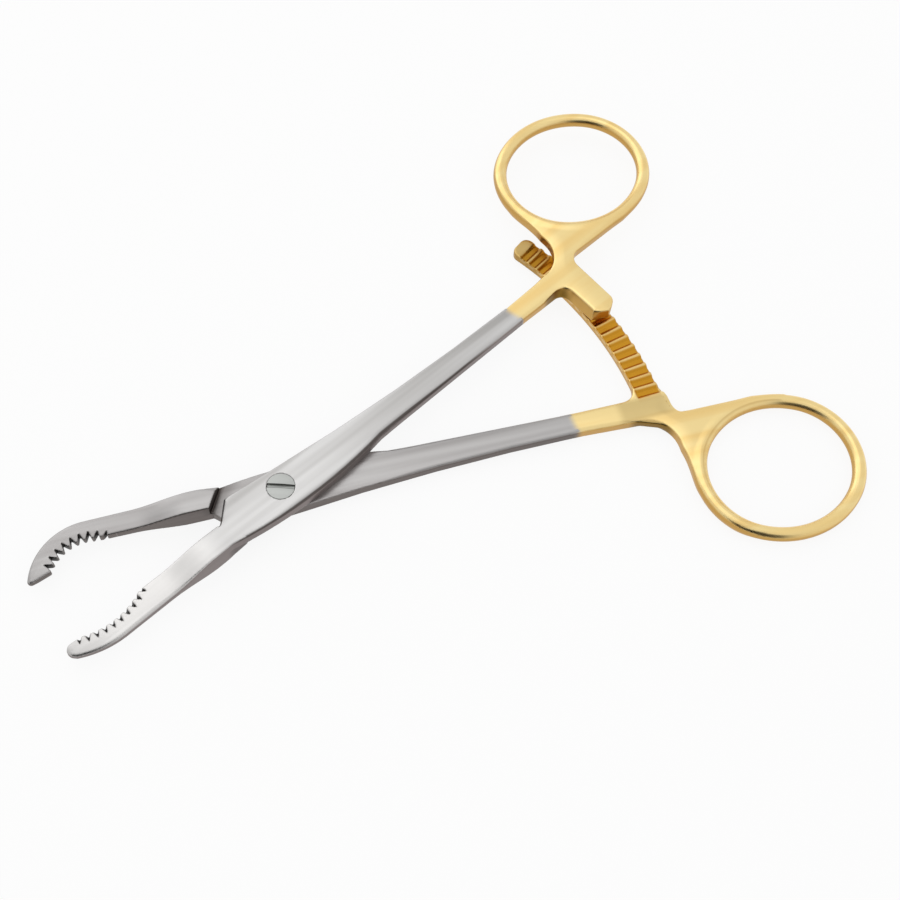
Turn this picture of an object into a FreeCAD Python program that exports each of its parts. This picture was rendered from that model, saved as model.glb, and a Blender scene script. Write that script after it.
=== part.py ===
"""Bone reduction forceps: two forged halves on a slotted pivot screw, with a ratchet rack."""
import FreeCAD, Part
import math
import os
import Sketcher

SHEET_NAME = "Sizes"

# Lengths are in millimetres and angles in degrees. Each half is drawn in its own frame: the pivot
# is the origin, +X runs along the shank to the ring, +Y is the side the ring stands out on, and
# z = 0 is the lap plane where the halves meet.
SIZES = {
    # Both halves
    "half_thickness": 2.6,
    "lap_gap": 0.05,
    "half_spread": 13.4,
    # Lap plate round the pivot
    "plate_corner_x": 12.4,
    "plate_end_x": 8.9,
    "plate_end_y": 4.7,
    "plate_side_y": 3.8,
    "hub_bulge_radius": 94.0,
    "shoulder_outer_x": 10.2,
    "shoulder_inner_x": 12.85,
    # Shank
    "jaw_root_x": 13.0,
    "jaw_root_y": 3.1,
    "crotch_x": 20.2,
    "crotch_y": 3.7,
    "shank_length": 56.0,
    "shank_outer_y": 1.4,
    "shank_inner_y": 2.75,
    "shank_bow_radius": 473.0,
    "shank_edge_round": 0.55,
    # Neck between shank and ring
    "neck_outer_offset": 2.3,
    "neck_inner_offset": 3.0,
    "neck_rise_y": 2.2,
    "neck_web_y": 1.8,
    "neck_reach": 9.0,
    "web_foot": 6.0,
    "neck_outer_round": 6.0,
    "neck_inner_round": 2.5,
    # Finger ring
    "ring_offset": 18.6,
    "ring_y": 16.6,
    "ring_end_radius": 12.6,
    "ring_end_spread": 2.35,
    "ring_side_extra": 4.05,
    "ring_turn": 8.2,
    "ring_wire": 2.6,
    # Jaw of the upper half
    "upper_jaw_inner_y": 1.3,
    "upper_hook_x": 35.9,
    "upper_hollow_radius": 13.6,
    "upper_hollow_depth": 1.5,
    "upper_jaw_width": 3.4,
    "upper_outer_end": 119.0,
    "upper_toe_angle": 114.0,
    "upper_nose_x": 47.0,
    "upper_nose_y": 1.5,
    "upper_nose_round": 1.1,
    "upper_first_notch": 61.7,
    "upper_notch_pitch": 6.03,
    "upper_notch_depth": 1.45,
    # Jaw of the lower half
    "lower_jaw_inner_y": 0.95,
    "lower_hook_x": 34.05,
    "lower_hollow_radius": 7.3,
    "lower_hollow_depth": 0.15,
    "lower_jaw_width": 3.7,
    "lower_outer_end": 168.0,
    "lower_toe_angle": 157.0,
    "lower_nose_x": 45.1,
    "lower_nose_y": 6.9,
    "lower_nose_round": 0.6,
    "lower_first_notch": 55.6,
    "lower_notch_pitch": 10.5,
    "lower_notch_depth": 1.4,
    # Both jaws, seen from the side
    "jaw_taper_start": 15.5,
    "jaw_taper_end": 25.5,
    "jaw_mid_height": 1.1,
    "jaw_tip_height": 0.9,
    "jaw_edge_round": 0.45,
    "notch_mouth": 1.1,
    "notch_count": 10,
    # Catch tab of the upper half
    "catch_inner_offset": 3.2,
    "catch_outer_offset": 2.7,
    "catch_nose_offset": 0.0,
    "catch_heel_y": 10.6,
    "catch_nose_y": 12.4,
    "catch_side_y": 10.6,
    "catch_bevel": 1.2,
    "catch_root_round": 1.8,
    "catch_tooth_count": 4,
    "catch_first_groove": 9,
    "catch_tooth_length": 4.0,
    "catch_tooth_clearance": 0.1,
    # Rack of the lower half
    "rack_radius": 70.2,
    "rack_width": 4.8,
    "rack_thickness": 1.7,
    "rack_drop": 0.3,
    "rack_root_angle": 14.4,
    "rack_flare": 2.4,
    "rack_tip_angle": 23.0,
    "rack_tip_round": 1.6,
    "groove_first_angle": 10.3,
    "groove_pitch": 1.81,
    "groove_width": 1.3,
    "groove_depth": 0.55,
    "groove_count": 18,
    "groove_overrun": 2.5,
    # Pivot screw and its seat
    "head_diameter": 4.9,
    "head_depth": 1.4,
    "head_dome": 0.15,
    "stem_diameter": 3.0,
    "running_clearance": 0.05,
    "slot_width": 0.7,
    "slot_depth": 0.7,
    "slot_angle": 31.6,
}


class Size:
    """A length, angle or count: the expression that binds it, and its present value."""

    def __init__(self, text, value):
        self.text = text
        self.value = value

    @staticmethod
    def of(other):
        """Returns the argument as a Size, so that plain numbers can be mixed in."""
        if isinstance(other, Size):
            return other
        return Size(repr(float(other)), float(other))

    def __add__(self, other):
        other = Size.of(other)
        return Size("(%s + %s)" % (self.text, other.text), self.value + other.value)

    def __sub__(self, other):
        other = Size.of(other)
        return Size("(%s - %s)" % (self.text, other.text), self.value - other.value)

    def __mul__(self, other):
        other = Size.of(other)
        return Size("(%s * %s)" % (self.text, other.text), self.value * other.value)

    def __truediv__(self, other):
        other = Size.of(other)
        return Size("(%s / %s)" % (self.text, other.text), self.value / other.value)

    def __neg__(self):
        return self * -1.0


def cosine(angle):
    """Cosine of a Size in degrees."""
    return Size("cos(%s)" % angle.text, math.cos(math.radians(angle.value)))


def sine(angle):
    """Sine of a Size in degrees."""
    return Size("sin(%s)" % angle.text, math.sin(math.radians(angle.value)))


def root(square):
    """Square root of a Size."""
    return Size("sqrt(%s)" % square.text, math.sqrt(square.value))


ZERO = Size("0", 0.0)


class Sheet:
    """The spreadsheet of driving sizes, read by name."""

    def __init__(self, doc):
        self.cells = doc.addObject("Spreadsheet::Sheet", SHEET_NAME)
        for row, (alias, number) in enumerate(SIZES.items(), start=1):
            self.cells.set("A%d" % row, alias)
            self.cells.set("B%d" % row, str(number))
            self.cells.setAlias("B%d" % row, alias)
        doc.recompute()

    def __call__(self, alias):
        return Size("%s.%s" % (SHEET_NAME, alias), float(self.cells.get(alias)))


def polar(radius, angle, centre_x=ZERO, centre_y=ZERO):
    """Returns the point at an angle round a centre, as two Sizes."""
    return centre_x + radius * cosine(angle), centre_y + radius * sine(angle)


def origin_plane(body, role):
    """Finds one of the body's own origin planes or axes."""
    return [item for item in body.Origin.OriginFeatures if item.Role == role][0]


def new_sketch(body, name, role="XY_Plane", base=(ZERO, ZERO, ZERO), turn=ZERO,
               axis=FreeCAD.Vector(0, 0, 1)):
    """Adds a sketch on an origin plane, moved and turned by sizes from the sheet."""
    sketch = body.newObject("Sketcher::SketchObject", name)
    sketch.AttachmentSupport = [(origin_plane(body, role), "")]
    sketch.MapMode = "FlatFace"
    shift = FreeCAD.Vector(*[part.value for part in base])
    sketch.AttachmentOffset = FreeCAD.Placement(shift, FreeCAD.Rotation(axis, turn.value))
    for letter, part in zip("xyz", base):
        if part is not ZERO:
            sketch.setExpression("AttachmentOffset.Base." + letter, part.text)
    if turn is not ZERO:
        sketch.setExpression("AttachmentOffset.Rotation.Angle", turn.text)
    return sketch


def tie(sketch, kind, size, *where):
    """Adds one constraint whose number comes from the sheet."""
    index = sketch.addConstraint(Sketcher.Constraint(kind, *where, size.value))
    sketch.setExpression("Constraints[%d]" % index, size.text)


def arc_between(start, end, radius, left):
    """Returns the minor arc from start to end, bulging to the left or right of the way."""
    chord = end - start
    middle = (start + end) * 0.5
    half = chord.Length / 2.0
    side = FreeCAD.Vector(-chord.y, chord.x, 0).normalize()
    if not left:
        side = -side
    sagitta = radius - math.sqrt(max(radius * radius - half * half, 0.0))
    return Part.Arc(start, middle + side * sagitta, end)


def draw_outline(sketch, corners):
    """Draws a closed outline and ties each corner and radius to the sheet.

    Each corner is (x, y) for a line to the next corner, or (x, y, radius, left) for an arc to it
    that bulges to the left or right of the way.
    """
    points = [FreeCAD.Vector(corner[0].value, corner[1].value, 0) for corner in corners]
    ends = []
    for number, corner in enumerate(corners):
        start, end = points[number], points[(number + 1) % len(points)]
        if len(corner) == 2:
            edge = sketch.addGeometry(Part.LineSegment(start, end))
            ends.append((edge, 1, 2))
            continue
        edge = sketch.addGeometry(arc_between(start, end, corner[2].value, corner[3]))
        first = 2 if corner[3] else 1
        ends.append((edge, first, 3 - first))
    for number, corner in enumerate(corners):
        edge, first, last = ends[number]
        following = ends[(number + 1) % len(ends)]
        sketch.addConstraint(
            Sketcher.Constraint("Coincident", edge, last, following[0], following[1]))
    for (edge, first, last), corner in zip(ends, corners):
        tie(sketch, "DistanceX", corner[0], -1, 1, edge, first)
        tie(sketch, "DistanceY", corner[1], -1, 1, edge, first)
        if len(corner) == 4:
            tie(sketch, "Radius", corner[2], edge)


def pad(body, name, sketch, length, reversed_way=False, both_ways=False):
    """Pads a sketch by a size from the sheet."""
    feature = body.newObject("PartDesign::Pad", name)
    feature.Profile = sketch
    feature.setExpression("Length", length.text)
    feature.Reversed = reversed_way
    if both_ways:
        feature.SideType = "Symmetric"
    return feature


def cut(body, name, sketch, length=None, reversed_way=False, both_ways=False):
    """Cuts a sketch out of the body, to a depth or, with no length, all the way through."""
    feature = body.newObject("PartDesign::Pocket", name)
    feature.Profile = sketch
    if length is None:
        feature.Type = "ThroughAll"
    else:
        feature.setExpression("Length", length.text)
    feature.Reversed = reversed_way
    if both_ways:
        feature.SideType = "Symmetric"
    return feature


def repeat(body, name, feature, axis, pitch, count, reversed_way):
    """Repeats a feature round an axis."""
    pattern = body.newObject("PartDesign::PolarPattern", name)
    pattern.Originals = [feature]
    pattern.Axis = axis
    pattern.Reversed = reversed_way
    pattern.setExpression("Angle", (pitch * (count - 1)).text)
    pattern.setExpression("Occurrences", count.text)
    body.Tip = pattern
    return pattern


def upright_edge_at(shape, x, y):
    """Names the upright edge that stands nearest to a point in plan."""
    best, best_gap = None, None
    for number, edge in enumerate(shape.Edges, start=1):
        box = edge.BoundBox
        if box.XLength > 1e-4 or box.YLength > 1e-4:
            continue
        gap = math.hypot(box.XMin - x, box.YMin - y)
        if best is None or gap < best_gap:
            best, best_gap = "Edge%d" % number, gap
    return best


def round_upright(doc, body, name, base, places, radius):
    """Rounds the upright edges that stand nearest to the given points in plan."""
    doc.recompute()
    feature = body.newObject("PartDesign::Fillet", name)
    names = [upright_edge_at(base.Shape, x.value, y.value) for x, y in places]
    feature.Base = (base, names)
    feature.setExpression("Radius", radius.text)
    return feature


def rim_edges(shape, chosen):
    """Names the edges between an upright face and a level or sloping one that are chosen."""
    names = []
    for number, edge in enumerate(shape.Edges, start=1):
        faces = shape.ancestorsOfType(edge, Part.Face)
        if len(faces) != 2:
            continue
        tilts = sorted(abs(face_normal(face, edge).z) for face in faces)
        if tilts[0] < 0.01 and tilts[1] > 0.9 and chosen(edge.CenterOfMass, edge.BoundBox):
            names.append("Edge%d" % number)
    return names


def face_normal(face, edge):
    """Normal of a face at the middle of one of its edges."""
    middle = edge.valueAt((edge.FirstParameter + edge.LastParameter) / 2.0)
    u, v = face.Surface.parameter(middle)
    return face.normalAt(u, v)


def jaw_corners(size, name, side):
    """Returns the jaw's outline, from its outer root to its inner root."""
    inner = size(name + "_jaw_inner_y")
    radius = size(name + "_hollow_radius")
    depth = size(name + "_hollow_depth")
    outer_radius = radius + size(name + "_jaw_width")
    centre_x = -size(name + "_hook_x")
    centre_y = inner + radius - depth
    outer_end = polar(outer_radius, -size(name + "_outer_end"), centre_x, centre_y)
    toe = polar(radius, -size(name + "_toe_angle"), centre_x, centre_y)
    heel_x = centre_x + root(radius * depth * 2.0 - depth * depth)
    return [
        (centre_x, (centre_y - outer_radius) * side, outer_radius, side > 0),
        (outer_end[0], outer_end[1] * side),
        (-size(name + "_nose_x"), size(name + "_nose_y") * side),
        (toe[0], toe[1] * side, radius, side < 0),
        (heel_x, inner * side),
    ]


def blank_corners(size, name, side):
    """Returns the outline of a whole half in plan, without ring, rack or catch."""
    ring_x, ring_y = ring_place(size)
    half_length, half_width = ring_reach(size)
    neck_x = size("rack_radius") + size("neck_outer_offset")
    inner_x = size("rack_radius") + size("neck_inner_offset")
    corners = [
        (-size("plate_corner_x"), size(name + "_jaw_inner_y") * side),
        (-size("plate_end_x"), size("plate_end_y") * side),
        (ZERO, size("plate_side_y") * side, size("shank_bow_radius"), side < 0),
        (size("shank_length"), size("shank_outer_y") * side),
        (neck_x, size("neck_rise_y") * side),
        (neck_x, size("neck_reach") * side),
        (ring_x - half_length, ring_y * side),
        (ring_x, ring_y * side),
        (ring_x + size("web_foot"), (ring_y - half_width) * side),
        (ring_x, (ring_y - half_width - size("ring_wire") / 2.0) * side),
        (inner_x, size("neck_web_y") * side),
    ]
    corners += neck_foot(size, name, side)
    corners += [
        (size("shank_length"), -size("shank_inner_y") * side),
        (size("crotch_x"), -size("crotch_y") * side, size("hub_bulge_radius"), side > 0),
        (-size("jaw_root_x"), -size("jaw_root_y") * side),
    ]
    return corners + jaw_corners(size, name, side)


def neck_foot(size, name, side):
    """Returns the corners of the catch tab, or of the block that the rack springs from."""
    shank_y = -size("shank_inner_y")
    if name == "upper":
        inner_x = catch_inner(size)
        return [
            (size("rack_radius") + size("catch_outer_offset"), -size("catch_side_y") * side),
            (size("rack_radius") + size("catch_nose_offset"), -size("catch_nose_y") * side),
            (inner_x, -size("catch_heel_y") * side),
            (inner_x, shank_y * side),
        ]
    return [(rack_outer(size), shank_y * side)]


def catch_inner(size):
    """Where the catch tab's inner side stands, measured from the pivot."""
    return size("rack_radius") - size("catch_inner_offset")


def ring_place(size):
    """Returns the ring's centre."""
    return size("rack_radius") + size("ring_offset"), size("ring_y")


def ring_reach(size):
    """Returns half the length and half the width of the ring's centre line."""
    extra, spread = size("ring_side_extra"), size("ring_end_spread")
    rise = root(extra * extra - spread * spread)
    end_radius = size("ring_end_radius")
    return spread + end_radius, end_radius + extra - rise


def rack_outer(size):
    """Outer radius of the rack round the pivot."""
    return size("rack_radius") + size("rack_width") / 2.0


def rack_inner(size):
    """Inner radius of the rack round the pivot."""
    return size("rack_radius") - size("rack_width") / 2.0


def add_blank(doc, size, body, name, side):
    """Forges the half as one bar in plan, at the full height of the joint."""
    sketch = new_sketch(body, name + "_blank_outline")
    draw_outline(sketch, blank_corners(size, name, side))
    blank = pad(body, name + "_blank", sketch, size("half_thickness") * 2.0, both_ways=True)
    corner = (size("rack_radius") + size("neck_outer_offset"), size("neck_rise_y") * side)
    blank = round_upright(doc, body, name + "_neck_outer_round", blank, [corner],
                          size("neck_outer_round"))
    corner = (size("rack_radius") + size("neck_inner_offset"), size("neck_web_y") * side)
    blank = round_upright(doc, body, name + "_neck_inner_round", blank, [corner],
                          size("neck_inner_round"))
    if side > 0:
        corner = (catch_inner(size), -size("shank_inner_y"))
        blank = round_upright(doc, body, "catch_root_round", blank, [corner],
                              size("catch_root_round"))
    corner = (-size(name + "_nose_x"), size(name + "_nose_y") * side)
    return round_upright(doc, body, name + "_nose_round", blank, [corner],
                         size(name + "_nose_round"))


def mill_lap(size, body, name, side):
    """Mills away the other half's level, from the shoulder to the end of the ring."""
    inner_x, inner_y = -size("shoulder_inner_x"), size(name + "_jaw_inner_y")
    outer_x, outer_y = -size("shoulder_outer_x"), -size("crotch_y")
    run_x, run_y = inner_x - outer_x, inner_y - outer_y
    ring_x, ring_y = ring_place(size)
    far_x, far_y = ring_x * 1.5, ring_y * 3.0
    level = size("lap_gap") if side > 0 else ZERO
    sketch = new_sketch(body, name + "_lap_outline", base=(ZERO, ZERO, level))
    draw_outline(sketch, [
        (outer_x - run_x, (outer_y - run_y) * side),
        (far_x, -far_y * side),
        (far_x, far_y * side),
        (inner_x + run_x * 2.0, (inner_y + run_y * 2.0) * side),
    ])
    return cut(body, name + "_lap", sketch, reversed_way=side < 0)


def taper_jaw(size, body, name):
    """Thins the jaw towards its tip, above and below."""
    top = size("half_thickness")
    clear = top * 2.0
    tip_x = -(size(name + "_nose_x") + clear)
    for face, way in (("top", 1), ("under", -1)):
        sketch = new_sketch(body, name + "_jaw_" + face, role="XZ_Plane")
        draw_outline(sketch, [
            (-size("jaw_taper_start"), top * way),
            (-size("jaw_taper_end"), size("jaw_mid_height") * way),
            (tip_x, size("jaw_tip_height") * way),
            (tip_x, clear * way),
            (-size("jaw_taper_start"), clear * way),
        ])
        feature = cut(body, name + "_jaw_taper_" + face, sketch, both_ways=True)
    return feature


def round_rims(doc, size, body, name, side, base):
    """Rounds the long edges of the shank and of the jaw's back, as polishing leaves them."""
    neck_end = SIZES["rack_radius"] + SIZES["rack_width"]

    def on_shank(middle, box):
        on_bar = abs(middle.y) < SIZES["neck_outer_round"]
        return on_bar and box.XMin > -SIZES["rack_drop"] and box.XMax < neck_end

    def on_jaw_back(middle, box):
        at_back = middle.y * side < -SIZES["shank_outer_y"]
        return at_back and box.XMax < -SIZES["plate_corner_x"]

    feature = base
    for part, chosen, radius in (("shank", on_shank, size("shank_edge_round")),
                                 ("jaw", on_jaw_back, size("jaw_edge_round"))):
        doc.recompute()
        names = rim_edges(feature.Shape, chosen)
        rounded = body.newObject("PartDesign::Fillet", "%s_%s_rims" % (name, part))
        rounded.Base = (feature, names)
        rounded.setExpression("Radius", radius.text)
        feature = rounded
    return feature


def ring_corners(size):
    """Returns the ring's centre line: an oval of tangent arcs about the sketch's origin."""
    end_radius, spread = size("ring_end_radius"), size("ring_end_spread")
    extra = size("ring_side_extra")
    rise = root(extra * extra - spread * spread)
    side_radius = end_radius + extra
    touch_x = spread + end_radius * spread / extra
    touch_y = end_radius * rise / extra
    return [
        (spread + end_radius, ZERO, end_radius, False),
        (touch_x, touch_y, side_radius, False),
        (-touch_x, touch_y, end_radius, False),
        (-touch_x, -touch_y, side_radius, False),
        (touch_x, -touch_y, end_radius, False),
    ]


def add_ring(size, body, name, side):
    """Opens the finger hole and draws the ring's round wire about it."""
    ring_x, ring_y = ring_place(size)
    ring_y = ring_y * side
    turn = -size("ring_turn") * side
    level = size("half_thickness") / 2.0 * side
    hole = new_sketch(body, name + "_ring_hole", base=(ring_x, ring_y, ZERO), turn=turn)
    draw_outline(hole, ring_corners(size))
    cut(body, name + "_ring_opening", hole, both_ways=True)
    path = new_sketch(body, name + "_ring_path", base=(ring_x, ring_y, level), turn=turn)
    draw_outline(path, ring_corners(size))
    half_length, half_width = ring_reach(size)
    start_x, start_y = polar(half_length, turn, ring_x, ring_y)
    section = new_sketch(body, name + "_ring_section", role="XZ_Plane",
                         base=(start_x, level, -start_y), turn=turn,
                         axis=FreeCAD.Vector(0, 1, 0))
    draw_circle(section, size("ring_wire"))
    ring = body.newObject("PartDesign::AdditivePipe", name + "_ring")
    ring.Profile = section
    ring.Spine = (path, ["Edge%d" % number for number in range(1, 6)])
    return ring


def draw_circle(sketch, diameter):
    """Draws a circle about the sketch's origin."""
    curve = sketch.addGeometry(
        Part.Circle(FreeCAD.Vector(0, 0, 0), FreeCAD.Vector(0, 0, 1), diameter.value / 2.0))
    sketch.addConstraint(Sketcher.Constraint("Coincident", curve, 3, -1, 1))
    tie(sketch, "Diameter", diameter, curve)


def bore_joint(size, body, name, side):
    """Bores the half for the pivot screw, and sinks the upper half for its head."""
    top = size("half_thickness")
    play = size("running_clearance") * 2.0
    sketch = new_sketch(body, name + "_bore_circle")
    draw_circle(sketch, size("stem_diameter") + play if side > 0 else size("stem_diameter"))
    bore = cut(body, name + "_bore", sketch, both_ways=True)
    if side < 0:
        return bore
    seat = new_sketch(body, name + "_seat_circle", base=(ZERO, ZERO, top))
    draw_circle(seat, size("head_diameter") + play)
    return cut(body, name + "_seat", seat, size("head_depth") + size("running_clearance"))


def cut_notches(size, body, name, side):
    """Cuts the row of V notches round the hollow of the jaw."""
    radius = size(name + "_hollow_radius")
    centre_x = -size(name + "_hook_x")
    centre_y = (size(name + "_jaw_inner_y") + radius - size(name + "_hollow_depth")) * side
    sketch = new_sketch(body, name + "_notch_outline", base=(centre_x, centre_y, ZERO),
                        turn=-size(name + "_first_notch") * side)
    mouth = radius - size("notch_mouth")
    deepest = radius + size(name + "_notch_depth")
    half_mouth = size("notch_mouth") / 2.0 * (deepest - mouth) / size(name + "_notch_depth")
    draw_outline(sketch, [(mouth, -half_mouth), (deepest, ZERO), (mouth, half_mouth)])
    notch = cut(body, name + "_notch", sketch, both_ways=True)
    return repeat(body, name + "_notches", notch, (sketch, ["N_Axis"]),
                  size(name + "_notch_pitch"), size("notch_count"), reversed_way=side > 0)


def radial_sketch(size, body, name, radius, angle):
    """Adds a sketch that faces outwards from the pivot at an angle round it."""
    across, along = radius * sine(angle), radius * cosine(angle)
    return new_sketch(body, name, role="YZ_Plane", base=(across, ZERO, along), turn=angle,
                      axis=FreeCAD.Vector(0, 1, 0))


def add_rack(doc, size, body, side):
    """Adds the curved rack that springs from the lower half's neck, and grooves its top."""
    inner, outer, flare = rack_inner(size), rack_outer(size), size("rack_flare")
    shank_y = size("shank_inner_y")
    buried = size("rack_root_angle") - size("half_spread")
    tip = -(size("rack_tip_angle") + size("half_spread"))
    level = -size("rack_drop")
    sketch = new_sketch(body, "rack_outline", base=(ZERO, ZERO, level))
    spring_y = shank_y + flare
    spring_x = root(inner * inner - spring_y * spring_y)
    tips = [polar(inner, tip), polar(outer, tip)]
    root_x, root_y = polar(outer, buried)
    draw_outline(sketch, [
        (spring_x - flare, root_y * side),
        (spring_x - flare, -shank_y * side, flare, side > 0),
        (spring_x, -spring_y * side, inner, side > 0),
        (tips[0][0], tips[0][1] * side),
        (tips[1][0], tips[1][1] * side, outer, side < 0),
        (root_x, root_y * side),
    ])
    rack = pad(body, "rack", sketch, size("rack_thickness"), reversed_way=True)
    places = [(x, y * side) for x, y in tips]
    rack = round_upright(doc, body, "rack_tip_rounding", rack, places, size("rack_tip_round"))
    first = (size("groove_first_angle") - size("half_spread")) * side
    profile = radial_sketch(size, body, "groove_outline", inner - size("groove_overrun"),
                            first)
    half_width, depth = size("groove_width") / 2.0, size("groove_depth")
    draw_outline(profile, [
        (-half_width, level + depth),
        (-half_width, level),
        (-half_width / 2.0, level - depth),
        (half_width / 2.0, level - depth),
        (half_width, level),
        (half_width, level + depth),
    ])
    groove = cut(body, "groove", profile, size("rack_width") + size("groove_overrun") * 2.0,
                 reversed_way=True)
    return repeat(body, "grooves", groove, (origin_plane(body, "Z_Axis"), [""]),
                  size("groove_pitch"), size("groove_count"), reversed_way=side > 0)


def add_catch(size, body):
    """Slopes the inner side of the catch tab and sets teeth under it."""
    inner, top = catch_inner(size), size("half_thickness")
    slope = new_sketch(body, "catch_slope_outline", role="XZ_Plane",
                       base=(ZERO, ZERO, size("shank_inner_y") + size("catch_bevel")))
    draw_outline(slope, [
        (inner, size("lap_gap")),
        (inner + size("catch_bevel"), top),
        (inner + size("catch_bevel"), top * 2.0),
        (inner - top, top * 2.0),
        (inner - top, size("lap_gap")),
    ])
    cut(body, "catch_slope", slope, reversed_way=True)
    first_groove = size("groove_pitch") * size("catch_first_groove") - size("groove_first_angle")
    first = first_groove - size("half_spread")
    start = inner + size("catch_bevel")
    profile = radial_sketch(size, body, "catch_tooth_outline", start, first)
    half_width = size("groove_width") / 2.0
    point = -size("rack_drop") + size("catch_tooth_clearance")
    draw_outline(profile, [
        (-half_width, size("lap_gap") * 2.0),
        (half_width, size("lap_gap") * 2.0),
        (ZERO, point),
    ])
    tooth = pad(body, "catch_tooth", profile, size("catch_tooth_length"))
    return repeat(body, "catch_teeth", tooth, (origin_plane(body, "Z_Axis"), [""]),
                  size("groove_pitch"), size("catch_tooth_count"), reversed_way=False)


def place(body, size, side, level):
    """Turns a half about the pivot to its side of the middle line and lifts it to its level."""
    axis = FreeCAD.Vector(0, 0, side)
    body.Placement = FreeCAD.Placement(FreeCAD.Vector(0, 0, level.value),
                                       FreeCAD.Rotation(axis, size("half_spread").value))
    body.setExpression("Placement.Base.z", level.text)
    body.setExpression("Placement.Rotation.Angle", size("half_spread").text)


def add_half(doc, size, name, side):
    """Models one half: the upper one with side 1, the lower one mirrored with side -1."""
    body = doc.addObject("PartDesign::Body", name + "_half")
    body.Label = name + "_half"
    add_blank(doc, size, body, name, side)
    mill_lap(size, body, name, side)
    shaped = taper_jaw(size, body, name)
    round_rims(doc, size, body, name, side, shaped)
    add_ring(size, body, name, side)
    bore_joint(size, body, name, side)
    if side > 0:
        add_catch(size, body)
    else:
        add_rack(doc, size, body, side)
    cut_notches(size, body, name, side)
    place(body, size, side, size("half_thickness"))
    return body


def add_screw(size, doc):
    """Turns the pivot screw and slots its head."""
    body = doc.addObject("PartDesign::Body", "pivot_screw")
    body.Label = "pivot_screw"
    top, stem = size("half_thickness"), size("stem_diameter") / 2.0
    head, under = size("head_diameter") / 2.0, size("half_thickness") - size("head_depth")
    crown = top + size("head_dome")
    profile = new_sketch(body, "screw_profile", role="XZ_Plane")
    draw_outline(profile, [
        (ZERO, -top),
        (stem, -top),
        (stem, under),
        (head, under),
        (head, top - size("head_dome")),
        (head - size("head_dome") * 2.0, crown),
        (ZERO, crown),
    ])
    turned = body.newObject("PartDesign::Revolution", "turned_screw")
    turned.Profile = profile
    turned.ReferenceAxis = (profile, ["V_Axis"])
    slot = new_sketch(body, "slot_outline", base=(ZERO, ZERO, crown))
    half_slot = size("slot_width") / 2.0
    draw_outline(slot, [(-head * 2.0, -half_slot), (head * 2.0, -half_slot),
                        (head * 2.0, half_slot), (-head * 2.0, half_slot)])
    cut(body, "slot", slot, size("slot_depth"))
    body.Placement = FreeCAD.Placement(
        FreeCAD.Vector(0, 0, top.value),
        FreeCAD.Rotation(FreeCAD.Vector(0, 0, -1), size("slot_angle").value))
    body.setExpression("Placement.Base.z", top.text)
    body.setExpression("Placement.Rotation.Angle", size("slot_angle").text)
    return body


def check(doc, bodies):
    """Stops if any object failed or any sub-part isn't one sound solid."""
    for item in doc.Objects:
        if "Invalid" in item.State or "Error" in item.State:
            raise RuntimeError("%s did not build: %s" % (item.Name, item.State))
    for body in bodies:
        shape = body.Shape
        if shape.isNull() or not shape.isValid() or len(shape.Solids) != 1:
            raise RuntimeError("%s is not one valid solid" % body.Label)


def main():
    """Builds the document and writes each sub-part."""
    doc = FreeCAD.newDocument("BoneReductionForceps")
    size = Sheet(doc)
    bodies = [add_half(doc, size, "upper", 1), add_half(doc, size, "lower", -1),
              add_screw(size, doc)]
    doc.recompute()
    check(doc, bodies)
    os.makedirs("parts", exist_ok=True)
    for body in bodies:
        body.Shape.exportStep(os.path.join("parts", body.Label + ".step"))


main()
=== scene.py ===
"""Bone reduction forceps: the forged halves, their plating and the pivot screw, in a studio."""

import logging
import math
from dataclasses import dataclass, field
from enum import Enum
from typing import Callable, Sequence

import bpy
import numpy as np
from mathutils import Matrix

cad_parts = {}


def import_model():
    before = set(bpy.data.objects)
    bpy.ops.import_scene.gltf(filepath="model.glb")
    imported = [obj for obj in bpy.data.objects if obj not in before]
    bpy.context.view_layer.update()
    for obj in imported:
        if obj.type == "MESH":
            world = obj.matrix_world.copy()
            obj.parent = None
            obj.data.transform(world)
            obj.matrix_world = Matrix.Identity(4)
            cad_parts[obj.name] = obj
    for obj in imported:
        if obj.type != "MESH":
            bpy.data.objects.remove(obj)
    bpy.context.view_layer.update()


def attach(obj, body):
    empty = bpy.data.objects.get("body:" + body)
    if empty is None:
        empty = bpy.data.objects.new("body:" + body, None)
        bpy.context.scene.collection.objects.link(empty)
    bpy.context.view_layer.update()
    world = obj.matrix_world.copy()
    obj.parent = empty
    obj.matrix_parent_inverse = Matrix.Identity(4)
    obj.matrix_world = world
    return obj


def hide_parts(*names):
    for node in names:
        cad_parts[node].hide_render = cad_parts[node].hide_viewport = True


LOG = logging.getLogger("forceps")
MM = 0.001
WHITE = (1.0, 1.0, 1.0, 1.0)
SQUARE = ((-1, -1), (1, -1), (1, 1), (-1, 1))

Array = np.ndarray
Triple = tuple[float, float, float]
Tree = bpy.types.NodeTree
Socket = bpy.types.NodeSocket


class Level(Enum):
    """Which of the two crossing halves a forging is: over or under the lap plane."""

    UPPER = 1
    LOWER = -1


class Zone(Enum):
    """Which stretch of a half a piece shows: the bare steel or the plated handle end."""

    STEEL = "steel"
    GOLD = "gold"


# Fields and outlines


@dataclass(frozen=True)
class Corner:
    """A corner of a plan outline, in millimetres.

    bow is the radius of the arc that runs from here to the next corner, positive where it bulges
    to the left of the way and zero for a straight run. soften is the radius rounded on the corner.
    """

    x: float
    y: float
    bow: float = 0.0
    soften: float = 0.0


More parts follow.
